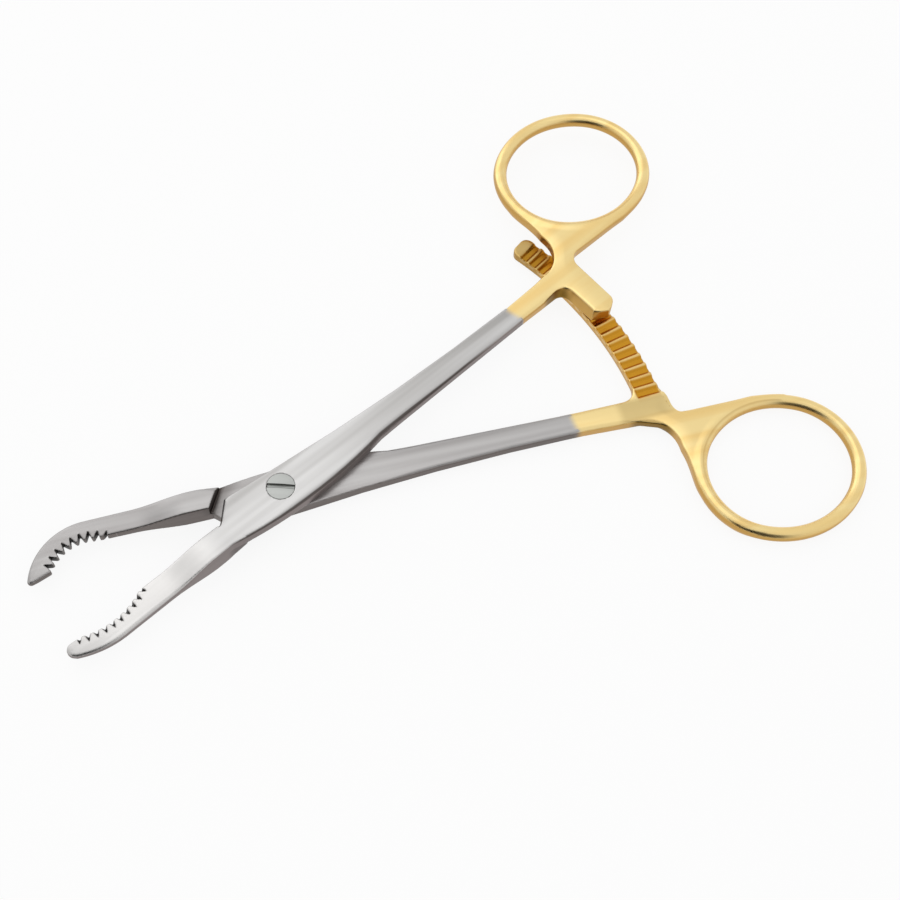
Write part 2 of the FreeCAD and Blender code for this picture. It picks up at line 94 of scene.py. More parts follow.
def arc(centre: Array, radius: float, start: Array, end: Array, count: int = 0) -> Array:
    """Follows a circle the short way round, from the direction of start to that of end.

    Gives count points, one row each, or one for every two degrees where count is zero.
    """
    first, last = (np.arctan2(*(place - centre)[::-1]) for place in (start, end))
    sweep = (last - first + math.pi) % (2.0 * math.pi) - math.pi
    count = count or max(3, int(abs(sweep) / 0.035) + 2)
    angle = first + sweep * np.linspace(0.0, 1.0, count)
    return centre + radius * np.stack([np.cos(angle), np.sin(angle)], axis=1)


def arc_run(start: Array, end: Array, bow: float) -> Array:
    """Follows a circular arc from one point towards another.

    The centre lies on the chord's perpendicular at root(radius squared minus half chord squared)
    from its middle, on the side away from the bulge.

    Args:
        start: first point.
        end: last point, which is left out of the result.
        bow: signed radius, positive where the arc bulges to the left of the way, zero if straight.

    Returns:
        The points, one row each, from start to just before end.
    """
    if bow == 0.0:
        return start[None, :]
    chord = end - start
    half = np.hypot(*chord) / 2.0
    left = np.array([-chord[1], chord[0]]) / (2.0 * half)
    centre = (start + end) / 2.0 - left * math.copysign(math.sqrt(bow * bow - half * half), bow)
    return arc(centre, abs(bow), start, end)[:-1]


def softened(before: Array, corner: Array, after: Array, radius: float) -> Array:
    """Rounds a corner with an arc that touches both of its straight runs.

    The arc starts and ends at radius over the tangent of half the corner's angle from the corner.
    """
    towards = (before - corner) / np.hypot(*(before - corner))
    onwards = (after - corner) / np.hypot(*(after - corner))
    half = math.acos(float(np.clip(towards @ onwards, -1.0, 1.0))) / 2.0
    reach = radius / math.tan(half)
    middle = (towards + onwards) / np.hypot(*(towards + onwards))
    centre = corner + middle * radius / math.sin(half)
    return arc(centre, radius, corner + towards * reach, corner + onwards * reach, 12)


def outline(corners: Sequence[Corner]) -> Array:
    """Turns corners into a closed loop of points, one row each."""
    places = [np.array([corner.x, corner.y]) for corner in corners]
    runs = []
    for number, corner in enumerate(corners):
        following = places[(number + 1) % len(places)]
        if corner.soften:
            runs.append(softened(places[number - 1], places[number], following, corner.soften))
        else:
            runs.append(arc_run(places[number], following, corner.bow))
    return np.concatenate(runs)


def loop_distance(x: Array, y: Array, loop: Array) -> Array:
    """Signed distance in plan to a closed loop, negative inside.

    The size is the least distance to any of the loop's straight runs, and the sign comes from
    how many runs a ray along +x crosses.

    Args:
        x: first coordinates, any shape.
        y: second coordinates, the same shape.
        loop: the loop's points.

    Returns:
        Distances in the coordinates' shape.
    """
    best = np.full(x.shape, np.inf)
    inside = np.zeros(x.shape, dtype=bool)
    for start, end in zip(loop, np.roll(loop, -1, axis=0)):
        run = end - start
        square = run @ run
        if square < 1e-12:
            continue
        dx, dy = x - start[0], y - start[1]
        share = np.clip((dx * run[0] + dy * run[1]) / square, 0.0, 1.0)
        best = np.minimum(best, (dx - share * run[0]) ** 2 + (dy - share * run[1]) ** 2)
        if run[1] != 0.0:
            crosses = (start[1] > y) != (end[1] > y)
            inside ^= crosses & (x < start[0] + dy * run[0] / run[1])
    return np.where(inside, -1.0, 1.0) * np.sqrt(best)


def smooth(zero: float, full: float, value: Array) -> Array:
    """Goes from 0 at zero to 1 at full, up or down, along 3 t squared minus 2 t cubed."""
    share = np.clip((value - zero) / (full - zero), 0.0, 1.0)
    return share * share * (3.0 - 2.0 * share)


def join(one: Array, other: Array, blend: float) -> Array:
    """Unites two fields, the lesser of the two, with a fillet as wide as blend where they meet."""
    share = np.clip(0.5 + 0.5 * (other - one) / blend, 0.0, 1.0)
    return other * (1.0 - share) + one * share - blend * share * (1.0 - share)


def carve(solid: Array, tool: Array, blend: float) -> Array:
    """Takes a tool out of a solid and leaves an edge rounded as wide as blend."""
    return -join(-solid, tool, blend)


def slab(plan: Array, z: Array, low: Array | float, high: Array | float,
         edge: Array | float) -> Array:
    """Gives a plan outline a thickness and rounds its rims.

    With a as the plan distance and b as the distance out of the layer, both moved in by the edge
    radius, the field is the length of their positive parts plus their greater negative part,
    less the edge radius.
    """
    across = plan + edge
    along = np.abs(z - (low + high) / 2.0) - (high - low) / 2.0 + edge
    out = np.hypot(np.maximum(across, 0.0), np.maximum(along, 0.0))
    return out + np.minimum(np.maximum(across, along), 0.0) - edge


def bar_field(plan: Array, z: Array, low: Array | float, high: Array | float,
              under: Array | float, over: Array | float) -> Array:
    """Gives a plan outline a thickness with one rim radius underneath and another on top."""
    beyond = 4.0
    return np.maximum(slab(plan, z, low, high + beyond, under),
                      slab(plan, z, low - beyond, high, over))


Field = Callable[[Array, Array, Array], Array]

CELL_CORNERS = np.array([[i, j, k] for i in (0, 1) for j in (0, 1) for k in (0, 1)])
CELL_EDGES = [(a, b) for a in range(8) for b in range(a + 1, 8)
              if np.abs(CELL_CORNERS[a] - CELL_CORNERS[b]).sum() == 1]


@dataclass
class Skin:
    """The surface of a field: where a function of space is zero, as a mesh of quads.

    Every cell of an even grid that the surface passes through gets one vertex at the mean of the
    surface's crossings of the cell's twelve edges, and every grid edge that the surface crosses
    gets one quad between the four cells round it. Newton steps along the field's slope then bring
    each vertex onto the true surface. Lengths are in millimetres.
    """

    shape: Field
    low: Sequence[float]
    high: Sequence[float]
    step: float
    newton_steps: int = 3
    least_slope: float = 0.3
    longest_move: float = 0.4
    slope_reach: float = 0.02
    points: Array = field(init=False)
    quads: Array = field(init=False)

    def __post_init__(self) -> None:
        """Samples the field and builds the mesh."""
        axes = [np.arange(a, b + self.step, self.step) for a, b in zip(self.low, self.high)]
        x, y, z = np.meshgrid(axes[0], axes[1], [0.0], indexing="ij")
        values = self.shape(x, y, axes[2][None, None, :]).astype(np.float32)
        self.points, self.quads = self.net(values)
        longest = self.longest_move * self.step
        for _ in range(self.newton_steps):
            distance, slope = self.distance_and_slope(self.points)
            size = np.maximum((slope ** 2).sum(axis=1), self.least_slope ** 2)
            move = np.clip(distance / size, -longest, longest)
            self.points = self.points - slope * move[:, None]

    def net(self, values: Array) -> tuple[Array, Array]:
        """Builds the mesh from the field's values at the grid's nodes.

        Args:
            values: the field on the grid.

        Returns:
            The vertices, one row each, and the quads' vertex numbers, wound outwards.
        """
        inside = values < 0.0
        cells = [n - 1 for n in values.shape]
        count = np.zeros(cells, dtype=np.int8)
        for i, j, k in CELL_CORNERS:
            count += inside[i:i + cells[0], j:j + cells[1], k:k + cells[2]]
        active = np.argwhere((count > 0) & (count < 8))
        number = np.full(cells, -1, dtype=np.int64)
        number[tuple(active.T)] = np.arange(len(active))
        corner = np.stack([values[tuple((active + c).T)] for c in CELL_CORNERS], axis=1)
        total, hits = np.zeros((len(active), 3)), np.zeros(len(active))
        for a, b in CELL_EDGES:
            crossed = (corner[:, a] < 0.0) != (corner[:, b] < 0.0)
            gap = np.where(crossed, corner[:, a] - corner[:, b], 1.0)
            share = np.where(crossed, corner[:, a] / gap, 0.0)
            place = CELL_CORNERS[a] + share[:, None] * (CELL_CORNERS[b] - CELL_CORNERS[a])
            total += np.where(crossed[:, None], place, 0.0)
            hits += crossed
        points = np.asarray(self.low) + self.step * (active + total / hits[:, None])
        quads = []
        for axis in range(3):
            sides = [(axis + 1) % 3, (axis + 2) % 3]
            places = np.argwhere(np.diff(inside, axis=axis))
            last = np.array(values.shape)[sides] - 1
            beside = places[:, sides]
            places = places[np.all((beside > 0) & (beside < last), axis=1)]
            ring = [number[tuple((places - np.roll((0, *back), axis)).T)]
                    for back in ((1, 1), (0, 1), (0, 0), (1, 0))]
            quad = np.stack(ring, axis=1)
            flip = ~inside[tuple(places.T)]
            quad[flip] = quad[flip][:, ::-1]
            quads.append(quad)
        return points, np.concatenate(quads)

    def distance_and_slope(self, points: Array) -> tuple[Array, Array]:
        """Evaluates the field at points, and its slope by central differences."""
        slope = np.stack([self.shape(*(points + step).T) - self.shape(*(points - step).T)
                          for step in self.slope_reach * np.eye(3)], axis=1)
        return self.shape(*points.T), slope / (2.0 * self.slope_reach)

    def wear(self) -> dict[str, Array]:
        """Measures the surface for the finishes.

        Returns:
            cavity: 1 deep in a groove or inner corner, from how far the field falls short of two
            distances walked straight out.
            rim: 1 on an outer edge, from the same test straight in.
            flank: 1 on upright walls and 0 on level faces.
        """
        _, slope = self.distance_and_slope(self.points)
        normal = slope / np.maximum(np.linalg.norm(slope, axis=1), 1e-6)[:, None]
        near, far, deep = (self.shape(*(self.points + walk * normal).T) / abs(walk)
                           for walk in (0.35, 1.1, -0.3))
        return {
            "cavity": np.clip(1.6 - 0.8 * near - 0.8 * far, 0.0, 1.0),
            "rim": np.clip(1.0 + deep, 0.0, 1.0),
            "flank": smooth(0.2, 0.7, 1.0 - np.abs(normal[:, 2])),
        }


def place_mesh(name: str, points: Array, faces: Array,
               marks: dict[str, Array]) -> bpy.types.Object:
    """Puts a mesh, in millimetres, into the scene in metres, smooth shaded.

    Args:
        name: the piece's name.
        points: vertex places in the object's frame.
        faces: vertex numbers, four to a face.
        marks: values at the vertices that the finishes read, by attribute name.

    Returns:
        The new object at the origin.
    """
    mesh = bpy.data.meshes.new(name)
    mesh.from_pydata((points * MM).tolist(), [], faces.tolist())
    mesh.update()
    mesh.polygons.foreach_set("use_smooth", np.ones(len(mesh.polygons), dtype=bool))
    for mark, values in marks.items():
        attribute = mesh.attributes.new(mark, "FLOAT", "POINT")
        attribute.data.foreach_set("value", values.astype(np.float32))
    piece = bpy.data.objects.new(name, mesh)
    bpy.context.scene.collection.objects.link(piece)
    return piece


# Finishes


def linear(code: str) -> tuple[float, float, float, float]:
    """Turns an sRGB hex colour into the linear colour that a shader takes."""
    parts = [int(code[i:i + 2], 16) / 255.0 for i in (1, 3, 5)]
    lin = [c / 12.92 if c <= 0.04045 else ((c + 0.055) / 1.055) ** 2.4 for c in parts]
    return (lin[0], lin[1], lin[2], 1.0)


def add_node(tree: Tree, kind: str, settings: dict[str, object] | None = None,
             inputs: dict[str | int, object] | None = None) -> bpy.types.Node:
    """Adds a node and sets it up.

    Args:
        tree: the tree that takes the node.
        kind: the node's type name after ShaderNode.
        settings: the node's own properties.
        inputs: what its inputs take, by name or number: a plain value or a socket to link.

    Returns:
        The new node.
    """
    node = tree.nodes.new("ShaderNode" + kind)
    for key, setting in (settings or {}).items():
        setattr(node, key, setting)
    for key, value in (inputs or {}).items():
        if isinstance(value, Socket):
            tree.links.new(value, node.inputs[key])
        else:
            node.inputs[key].default_value = value
    return node


def emptied(owner: bpy.types.Material | bpy.types.World) -> Tree:
    """Empties a material's or world's node tree."""
    owner.use_nodes = True
    owner.node_tree.nodes.clear()
    return owner.node_tree


def vertex_mark(tree: Tree, name: str) -> Socket:
    """Reads one of the values that place_mesh keeps at the vertices."""
    return add_node(tree, "Attribute", {"attribute_name": name}).outputs["Fac"]


def ranged(tree: Tree, value: Socket, given: tuple[float, float],
           wanted: tuple[float, float] = (0.0, 1.0)) -> Socket:
    """Maps a value from a given range onto a wanted one and holds it there."""
    return add_node(tree, "MapRange", {"clamp": True},
                    dict(enumerate((value, *given, *wanted)))).outputs[0]


def coloured(tree: Tree, kind: str, color: tuple[float, float, float, float]) -> Socket:
    """Adds a shader of one plain colour."""
    return add_node(tree, kind, None, {"Color": color}).outputs[0]


def mixed_output(tree: Tree, kind: str, share: Socket, one: Socket, other: Socket) -> None:
    """Ends a tree with a mix of two shaders, by a share from 0 to 1 of the second."""
    mix = add_node(tree, "MixShader", None, {0: share, 1: one, 2: other})
    add_node(tree, kind, None, {"Surface": mix.outputs[0]})


@dataclass(frozen=True)
class GroundMetal:
    """Metal that was forged, milled and ground: level faces bright, with painted shade on walls
    and in hollows.

    The wheel leaves fine streaks along the part, 0.1 to 0.2 mm apart on the real one and drawn
    0.35 mm apart here so that they show. Upright walls are rougher and are painted darker as
    painted shade, grooves and hollows are painted darker as painted shade, and rims get a painted
    highlight. Wide, faint bands carry the warmer colour and a slight waviness.
    """

    name: str
    face: str
    face_warm: str
    # Painted shade on upright walls.
    wall: str
    # Painted shade in hollows and grooves.
    hollow: str
    # Painted highlight on rims.
    edge: str
    # Painted highlight and painted reflection colour.
    tint: str
    # Painted shade where the half's shade mark asks for it.
    shade: str
    roughness: float
    wall_roughness: float
    turn: float
    streak_gloss: float
    streak_mm: float = 0.35
    streak_length_mm: float = 14.0
    band_mm: float = 1.9
    band_length_mm: float = 45.0
    bump: float = 0.05
    band_bump: float = 0.25
    band_contrast: tuple[float, float] = (0.35, 0.7)
    streak_contrast: tuple[float, float] = (0.3, 0.7)
    edge_highlight_range: tuple[float, float] = (0.25, 0.8)
    edge_highlight_most: float = 0.35
    hollow_shade_range: tuple[float, float] = (0.12, 0.75)
    under: "GroundMetal | None" = None

    def make(self) -> bpy.types.Material:
        """Builds the material's nodes."""
        material = bpy.data.materials.new(self.name)
        tree = emptied(material)
        streak = self.noise(tree, self.streak_length_mm, self.streak_mm, 3.0, 0.6)
        band = self.noise(tree, self.band_length_mm, self.band_mm, 1.0, 0.4)
        flank = vertex_mark(tree, "flank")
        warm = ranged(tree, band, self.band_contrast)
        # Upright walls take the wall colour, which is painted shade.
        color = self.tone(tree, warm, flank)
        # Rims are painted lighter: a painted highlight.
        edge_highlight = ranged(tree, vertex_mark(tree, "rim"), self.edge_highlight_range, (0.0, self.edge_highlight_most))
        color = self.mixed(tree, edge_highlight, color, self.edge)
        # Grooves and inner corners are painted darker: painted shade.
        hollow_shade = ranged(tree, vertex_mark(tree, "cavity"), self.hollow_shade_range)
        color = self.mixed(tree, hollow_shade, color, self.hollow)
        # Painted highlight on the upper jaw, painted reflection in the rack's grooves.
        color = self.mixed(tree, vertex_mark(tree, "tint"), color, self.tint)
        # Painted shade from the half's shade mark.
        color = self.mixed(tree, vertex_mark(tree, "shade"), color, self.shade)
        if self.under is not None:
            below = self.under.tone(tree, warm, flank)
            color = self.mixed(tree, vertex_mark(tree, "bare"), color, below)
        gloss = ranged(tree, streak, self.streak_contrast,
                       (self.roughness - self.streak_gloss, self.roughness + self.streak_gloss))
        rough = add_node(tree, "Mix", {"data_type": "FLOAT"},
                         {"Factor": flank, "A": gloss, "B": self.wall_roughness})
        waves = add_node(tree, "Bump", None,
                         {"Strength": self.band_bump, "Distance": 0.3 * MM, "Height": band})
        bump = add_node(tree, "Bump", None,
                        {"Strength": self.bump, "Distance": 0.02 * MM, "Height": streak,
                         "Normal": waves.outputs[0]})
        shader = add_node(tree, "BsdfPrincipled", None,
                          {"Metallic": 1.0, "Base Color": color, "Roughness": rough.outputs[0],
                           "Normal": bump.outputs[0]})
        add_node(tree, "OutputMaterial", None, {"Surface": shader.outputs[0]})
        return material

    def noise(self, tree: Tree, length: float, width: float, detail: float,
              roughness: float) -> Socket:
        """Adds noise in traces of a length and a width, in millimetres, along the part."""
        place = add_node(tree, "TexCoord")
        along = add_node(tree, "Mapping", {"vector_type": "TEXTURE"}, {
            "Rotation": (0.0, 0.0, math.radians(self.turn)),
            "Scale": (length * MM, width * MM, width * MM),
            "Vector": place.outputs["Object"],
        })
        return add_node(tree, "TexNoise", {"noise_dimensions": "3D"},
                        {"Scale": 1.0, "Detail": detail, "Roughness": roughness,
                         "Vector": along.outputs[0]}).outputs["Fac"]

    def tone(self, tree: Tree, warm: Socket, flank: Socket) -> Socket:
        """Mixes the face's two colours by the bands, and turns to the wall's painted shade where
        upright.
        """
        face = self.mixed(tree, warm, self.face, self.face_warm)
        return self.mixed(tree, flank, face, self.wall)

    @staticmethod
    def mixed(tree: Tree, share: Socket, one: Socket | str, other: Socket | str) -> Socket:
        """Mixes two colours, each a socket or a hex code, by a share from 0 to 1."""
        one, other = (linear(c) if isinstance(c, str) else c for c in (one, other))
        return add_node(tree, "Mix", {"data_type": "RGBA"},
                        {0: share, 6: one, 7: other}).outputs[2]


# The forged halves


@dataclass(frozen=True)
class JawSizes:
    """A jaw, in its half's own frame, in millimetres and degrees."""

    inner_y: float
    hook_x: float
    hollow_radius: float
    hollow_depth: float
    width: float
    outer_end: float
    toe_angle: float
    nose_x: float
    nose_y: float
    nose_round: float
    first_notch: float
    notch_pitch: float
    notch_depth: float
    notch_slant: float
    notch_count: int = 10
    notch_mouth: float = 1.1

    @property
    def centre(self) -> tuple[float, float]:
        """Centre of the hook's arcs."""
        return -self.hook_x, self.inner_y + self.hollow_radius - self.hollow_depth

    def corners(self) -> list[Corner]:
        """Outline from the outer root of the hook round the nose to the inner root."""
        x, y = self.centre
        outer = self.hollow_radius + self.width
        end, toe = math.radians(-self.outer_end), math.radians(-self.toe_angle)
        heel = math.sqrt(2.0 * self.hollow_radius * self.hollow_depth - self.hollow_depth ** 2)
        return [
            Corner(x, y - outer, outer),
            Corner(x + outer * math.cos(end), y + outer * math.sin(end)),
            Corner(-self.nose_x, self.nose_y, soften=self.nose_round),
            Corner(x + self.hollow_radius * math.cos(toe), y + self.hollow_radius * math.sin(toe),
                   -self.hollow_radius),
            Corner(x + heel, self.inner_y),
        ]

    def outward(self, x: Array, y: Array) -> Array:
        """How far a point lies beyond the jaw's middle line, towards its back."""
        centre_x, centre_y = self.centre
        beyond_hook = np.hypot(x - centre_x, y - centre_y) - self.hollow_radius - self.width / 2.0
        straight = centre_y - y - self.hollow_radius - self.width / 2.0
        return np.where(x < centre_x, beyond_hook, straight)

    def notches(self, x: Array, y: Array) -> Array:
        """Field of the V notches, wedges that point outwards from the hook's centre.

        Each point is measured from the nearest notch's ray: the wedge's half width falls evenly
        from its mouth inside the hollow to nothing at its root.
        """
        centre_x, centre_y = self.centre
        radius = np.hypot(x - centre_x, y - centre_y)
        angle = np.degrees(np.arctan2(centre_y - y, x - centre_x))
        number = np.clip(np.round((angle - self.first_notch) / self.notch_pitch), 0,
                         self.notch_count - 1)
        off = np.radians(angle - self.first_notch - number * self.notch_pitch) * radius
        root = self.hollow_radius + self.notch_depth
        slant = self.notch_mouth / 2.0 / self.notch_depth
        return (np.abs(off) - slant * (root - radius)) / math.hypot(1.0, slant)


@dataclass(frozen=True)
class HalfSizes:
    """What the two halves share, in a half's own frame, in millimetres and degrees."""

    thickness: float = 2.6
    lap_gap: float = 0.05
    spread: float = 13.4
    plate_end_x: float = -12.4
    plate_corner: tuple[float, float] = (-8.9, 4.7)
    plate_side_y: float = 3.8
    shank_bow: float = 473.0
    shank_end: Triple = (56.0, 1.4, 2.75)
    neck: tuple[float, float] = (72.5, 2.2)
    neck_inner: tuple[float, float] = (73.2, 1.8)
    neck_reach: float = 9.0
    web_foot: float = 6.0
    crotch: tuple[float, float] = (20.2, 3.7)
    jaw_root: tuple[float, float] = (13.0, 3.1)
    hub_bulge: float = 94.0
    shoulder: tuple[float, float] = (10.2, 12.85)
    ring_centre: tuple[float, float] = (88.8, 16.6)
    ring_turn: float = 8.2
    ring_end_radius: float = 12.6
    ring_end_spread: float = 2.35
    ring_side_extra: float = 4.05
    ring_wire: float = 2.6
    plating_upper: tuple[float, float] = (54.0, 8.0)
    plating_lower: tuple[float, float] = (53.15, -12.0)
    seam_length: float = 1.2
    seam_dip: float = 0.015
    seam_end: float = 0.5
    bore_radius: float = 1.55
    seat_radius: float = 2.5
    seat_depth: float = 1.45
    shoulder_lap: float = 0.8
    web_half: float = 1.0
    web_fillet: float = 2.4
    ring_fillet: float = 0.7

    def ring_reach(self) -> tuple[float, float]:
        """Half the length and half the width of the ring's centre line."""
        rise = math.sqrt(self.ring_side_extra ** 2 - self.ring_end_spread ** 2)
        return (self.ring_end_spread + self.ring_end_radius,
                self.ring_end_radius + self.ring_side_extra - rise)

    def ring_loop(self) -> Array:
        """The ring's centre line: end arcs and larger side arcs that touch each other."""
        rise = math.sqrt(self.ring_side_extra ** 2 - self.ring_end_spread ** 2)
        x = self.ring_end_spread * (1.0 + self.ring_end_radius / self.ring_side_extra)
        y = self.ring_end_radius * rise / self.ring_side_extra
        side, end = -self.ring_end_radius - self.ring_side_extra, -self.ring_end_radius
        loop = outline([Corner(x, y, side), Corner(-x, y, end), Corner(-x, -y, side),
                        Corner(x, -y, end)])
        turn = math.radians(-self.ring_turn)
        spin = np.array([[math.cos(turn), math.sin(turn)], [-math.sin(turn), math.cos(turn)]])
        return loop @ spin + np.array(self.ring_centre)


@dataclass(frozen=True)
class CatchSizes:
    """The catch tab of the upper half and the teeth under it."""

    inner_x: float = 67.0
    outer: tuple[float, float] = (72.9, 10.6)
    nose: tuple[float, float] = (70.2, 12.4)
    heel_y: float = 10.6
    bevel: float = 1.05
    root_round: float = 1.8
    outer_round: float = 1.8
    nose_round: float = 0.5
    slope_rim: float = 0.25
    first_tooth: int = 9
    teeth: int = 4
    tooth_half: float = 0.55
    teeth_radius: float = 70.3
    teeth_half_width: float = 1.9
    teeth_top: float = 0.4
    teeth_clear: float = 0.12


@dataclass(frozen=True)
class RackSizes:
    """The curved rack of the lower half, about the pivot."""

    radius: float = 70.2
    width: float = 4.8
    top: float = -0.3
    thickness: float = 1.7
    tip_angle: float = 36.4
    root_angle: float = 1.5
    tip_round: float = 1.6
    root_fillet: float = 3.2
    rim: float = 0.3
    first_groove: float = 3.1
    pitch: float = 1.81
    count: int = 18
    groove_half: float = 0.42
    groove_depth: float = 0.55
    groove_rim: float = 0.18
    plain_strip: float = 0.3


@dataclass
class Half:
    """One forged half. Its field is drawn in its own frame, where the lower half is mirrored."""

    level: Level
    jaw: JawSizes
    sizes: HalfSizes = field(default_factory=HalfSizes)
    catch: CatchSizes = field(default_factory=CatchSizes)
    rack: RackSizes = field(default_factory=RackSizes)
    loop: Array = field(init=False)
    ring: Array = field(init=False)

    def __post_init__(self) -> None:
        """Lays out the plan."""
        self.loop = outline(self.corners())
        self.ring = self.sizes.ring_loop()

    @property
    def name(self) -> str:
        """The half's name, as its CAD node has it."""
        return self.level.name.lower() + "_half"

    def corners(self) -> list[Corner]:
        """Plan of the whole half but its ring wire and rack, clockwise from the plate's end."""
        s = self.sizes
        shank_x, outer_y, inner_y = s.shank_end
        ring_x, ring_y = s.ring_centre
        half_length, half_width = s.ring_reach()
        if self.level is Level.UPPER:
            c = self.catch
            foot = [Corner(c.outer[0], -c.outer[1], soften=c.outer_round),
                    Corner(c.nose[0], -c.nose[1], soften=c.nose_round),
                    Corner(c.inner_x, -c.heel_y), Corner(c.inner_x, -inner_y, soften=c.root_round)]
        else:
            foot = [Corner(self.rack.radius + self.rack.width / 2.0, -inner_y, soften=1.3)]
        return [
            Corner(s.plate_end_x, self.jaw.inner_y),
            Corner(*s.plate_corner),
            Corner(0.0, s.plate_side_y, -s.shank_bow),
            Corner(shank_x, outer_y),
            Corner(*s.neck, soften=6.0),
            Corner(s.neck[0], s.neck_reach),
            Corner(ring_x - half_length, ring_y),
            Corner(ring_x, ring_y),
            Corner(ring_x + s.web_foot, ring_y - half_width),
            Corner(ring_x, ring_y - half_width - s.ring_wire / 2.0),
            Corner(*s.neck_inner, soften=2.5),
            *foot,
            Corner(shank_x, -inner_y),
            Corner(s.crotch[0], -s.crotch[1], s.hub_bulge),
            Corner(-s.jaw_root[0], -s.jaw_root[1]),
            *self.jaw.corners(),
        ]

    def layer(self) -> tuple[float, float]:
        """The half's own layer beyond the shoulder, measured from the lap plane."""
        if self.level is Level.UPPER:
            return self.sizes.lap_gap, self.sizes.thickness
        return -self.sizes.thickness, 0.0

    def steel(self, x: Array, y: Array, z: Array) -> Array:
        """Field of the jaw, the lap plate and the shank up to the seam."""
        s = self.sizes
        plan = loop_distance(x, y, self.loop)
        body = np.minimum(self.bar(plan, x, y, z), self.jaw_block(plan, x, y, z))
        radius = np.hypot(x, y)
        body = carve(body, radius - s.bore_radius, 0.1)
        if self.level is Level.UPPER:
            seat = np.maximum(radius - s.seat_radius, s.thickness - s.seat_depth - z)
            body = carve(body, seat, 0.02)
        past = self.boundary(x, y)
        return np.maximum(body + s.seam_dip * smooth(0.0, s.seam_length, past),
                          past - s.seam_length - s.seam_end)

    def bar(self, plan: Array, x: Array, y: Array, z: Array) -> Array:
        """Field of the lap plate and the shank, which fill one layer.

        Its rims grow along the shank, and the free one by the joint and at the plate's corner.
        """
        low, high = self.layer()
        lap_rim = 0.12 + 0.42 * smooth(14.0, 26.0, x)
        inner = smooth(1.5, 3.0, -y) * smooth(-8.0, 4.0, x) * smooth(40.0, 22.0, x)
        corner = smooth(7.5, 9.5, -x) * smooth(0.3, 2.0, y)
        free_rim = 0.42 + 0.15 * smooth(4.0, 20.0, x) + 0.4 * inner + 0.45 * corner
        crown = self.crown(plan)
        if self.level is Level.UPPER:
            bar = bar_field(plan, z, low, high - crown, lap_rim, free_rim)
        else:
            high = high - crown * smooth(12.0, 24.0, x)
            bar = bar_field(plan, z, low, high, free_rim, lap_rim)
        return np.maximum(bar, -self.ahead(x, y) - self.sizes.shoulder_lap)

    def jaw_block(self, plan: Array, x: Array, y: Array, z: Array) -> Array:
        """Field of the jaw, at the root as high as both layers.

        It falls to its thin end along a soft step, its back is rounded more than its biting
        side, and its wall at the shoulder is bevelled.
        """
        s = self.sizes
        crown, ahead = self.crown(plan), self.ahead(x, y)
        taper = np.clip((-x - 25.0) / 20.0, 0.0, 1.0)
        height = s.thickness - 1.48 * smooth(16.0, 26.0, -x) - 0.24 * taper
        back = smooth(0.0, self.jaw.width * 0.45, self.jaw.outward(x, y))
        rim = 0.2 + (0.12 + 0.3 * back) * smooth(15.0, 26.0, -x)
        block = slab(plan, z, crown - height, height - crown, rim)
        side = 1.5 * np.maximum(y + s.crotch[1], 0.0)
        bevel = -self.level.value * z - 0.35 - side + 0.45 * ahead
        block = carve(block, -bevel / 1.8, 0.5)
        block = carve(block, -ahead, 0.12)
        notches = self.jaw.notches(x, y) + self.jaw.notch_slant * (height - z)
        return carve(block, notches, 0.12)

    def crown(self, plan: Array) -> Array:
        """How far the ground faces fall off towards their edges, as a rounded bar's do."""
        return 0.2 * (1.0 - np.clip(-plan / 3.0, 0.0, 1.0)) ** 2

    def boundary(self, x: Array, y: Array) -> Array:
        """Distance past the line across the shank where the plating starts.

        The line is a little askew and bowed. Beyond the shank's inner side, where only the rack's
        tip reaches, everything is plated.
        """
        s = self.sizes
        start, turn = s.plating_upper if self.level is Level.UPPER else s.plating_lower
        skew = math.radians(turn)
        off_shank, bow = 5.0, 0.06
        beside = np.clip(y, -off_shank, off_shank)
        line = (x - start) * math.cos(skew) + beside * math.sin(skew) - bow * beside * beside
        return line + np.maximum(-off_shank - 1.0 - y, 0.0)

    def gold(self, x: Array, y: Array, z: Array) -> Array:
        """Field of the plated end: shank, neck, ring, and the catch tab or the rack.

        The ring is a round wire with a fillet to the neck's flat web. Where this piece and the
        steel one overlap, each dips under the other, so that neither shows its end.
        """
        s = self.sizes
        wire_plan = loop_distance(x, y, self.ring)
        near_web = np.abs(wire_plan) - s.web_half + 2.0 * smooth(76.0, 87.0, x)
        plan = join(loop_distance(x, y, self.loop), near_web, s.web_fillet)
        low, high = self.layer()
        rim = 0.8 - 0.5 * smooth(63.0, 67.0, x) * smooth(79.0, 75.0, x)
        bar = bar_field(plan, z, low, high - self.crown(plan), 0.5, rim)
        if self.level is Level.UPPER:
            bar = self.with_catch(bar, plan, x, y, z)
        else:
            bar = self.with_rack(bar, plan, x, y, z)
        middle = self.level.value * s.thickness / 2.0
        wire = np.hypot(wire_plan, z - middle) - s.ring_wire / 2.0
        body = join(carve(bar, wire_plan, 0.3), wire, s.ring_fillet)
        if self.level is Level.LOWER:
            body = np.maximum(body, low - z)
        past = self.boundary(x, y)
        return np.maximum(body + s.seam_dip * smooth(s.seam_length, 0.0, past),
                          -past - s.seam_end)

